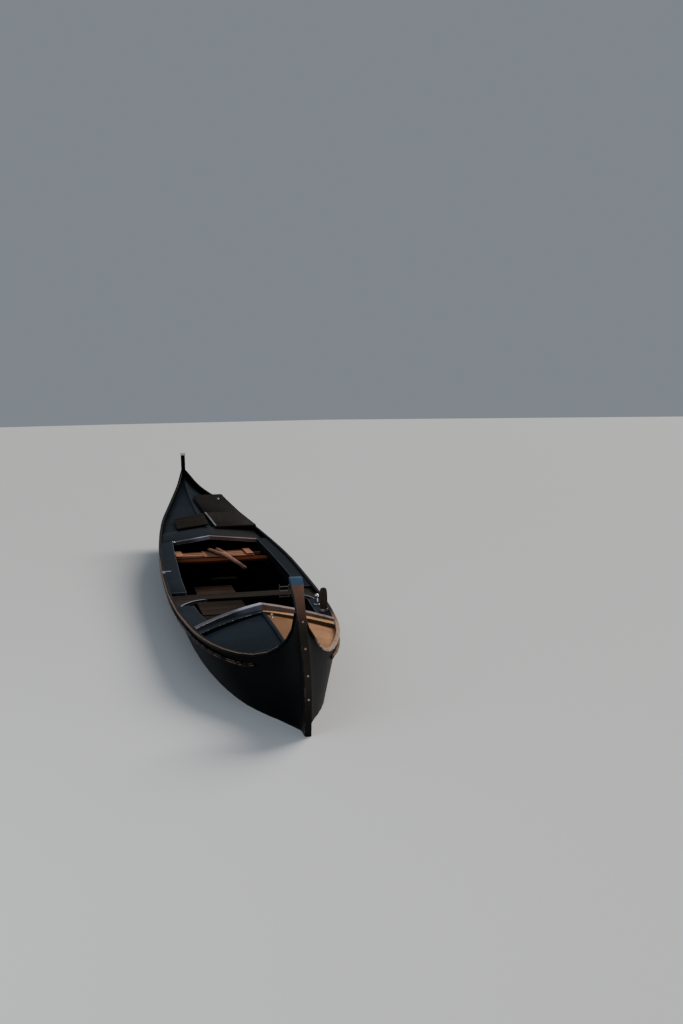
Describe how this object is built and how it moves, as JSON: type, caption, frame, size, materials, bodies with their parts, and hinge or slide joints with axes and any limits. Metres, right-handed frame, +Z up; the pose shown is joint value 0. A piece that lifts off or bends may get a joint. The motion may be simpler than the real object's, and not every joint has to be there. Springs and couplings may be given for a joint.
{
  "type": "gondola boat",
  "caption": "Long narrow flat-bottomed rowing boat with rising ends, peaked decks, an open cockpit with thwart and slatted seat, and a rower's platform aft.",
  "frame": {"origin": "under the middle of the boat's overall box, on its lowest level, which is the flat bottom amidships", "axes": "-Y towards the bow, +X to port, +Z up; the waterline lies at z = 0.121 m"},
  "size_m": [1.5304, 10.92, 1.6051],
  "materials": {
    "black_paint": "gloss black paint, worn at the edges",
    "bright_metal": "polished",
    "grey_wood": "weathered brown boards",
    "iron": "dull iron with rust",
    "pale_wood": "oiled natural wood",
    "varnished_wood": "orange-red varnish",
    "worn_black": "black paint worn to the wood"
  },
  "bodies": {
    "root": {"bottom": "black_paint", "bow_post": "black_paint", "bow_strap": "iron", "stern_post": "black_paint", "stern_cap": "bright_metal", "side_starboard": "black_paint", "gunwale_starboard": "worn_black", "rub_rail_starboard": "worn_black", "fore_deck_starboard": "black_paint", "aft_deck_starboard": "black_paint", "side_deck_fore_starboard": "black_paint", "side_deck_aft_starboard": "black_paint", "side_frames_starboard": "worn_black", "thwart_knee_starboard": "grey_wood", "side_port": "black_paint", "gunwale_port": "worn_black", "rub_rail_port": "worn_black", "fore_deck_port": "black_paint", "aft_deck_port": "black_paint", "side_deck_fore_port": "black_paint", "side_deck_aft_port": "black_paint", "side_frames_port": "worn_black", "thwart_knee_port": "grey_wood", "fore_deck_ridge": "black_paint", "aft_deck_ridge": "black_paint", "fore_coaming": "worn_black", "fore_covering_board": "black_paint", "aft_coaming": "worn_black", "aft_covering_board": "black_paint", "floor_timbers": "worn_black", "floorboards_fore": "grey_wood", "floorboards_middle": "grey_wood", "floorboards_aft": "grey_wood", "thwart": "grey_wood", "seat_slats": "pale_wood", "seat_front_board": "varnished_wood", "seat_rear_bearer": "varnished_wood", "rower_board_fore": "grey_wood", "rower_board_aft": "grey_wood", "rower_board_batten": "pale_wood", "aft_hatch": "grey_wood", "mooring_post": "grey_wood", "cleat_starboard": "bright_metal", "iron_bracket": "iron", "deck_fitting_port": "bright_metal", "floor_bar": "pale_wood", "forcola": "pale_wood"}
  },
  "joints": []
}
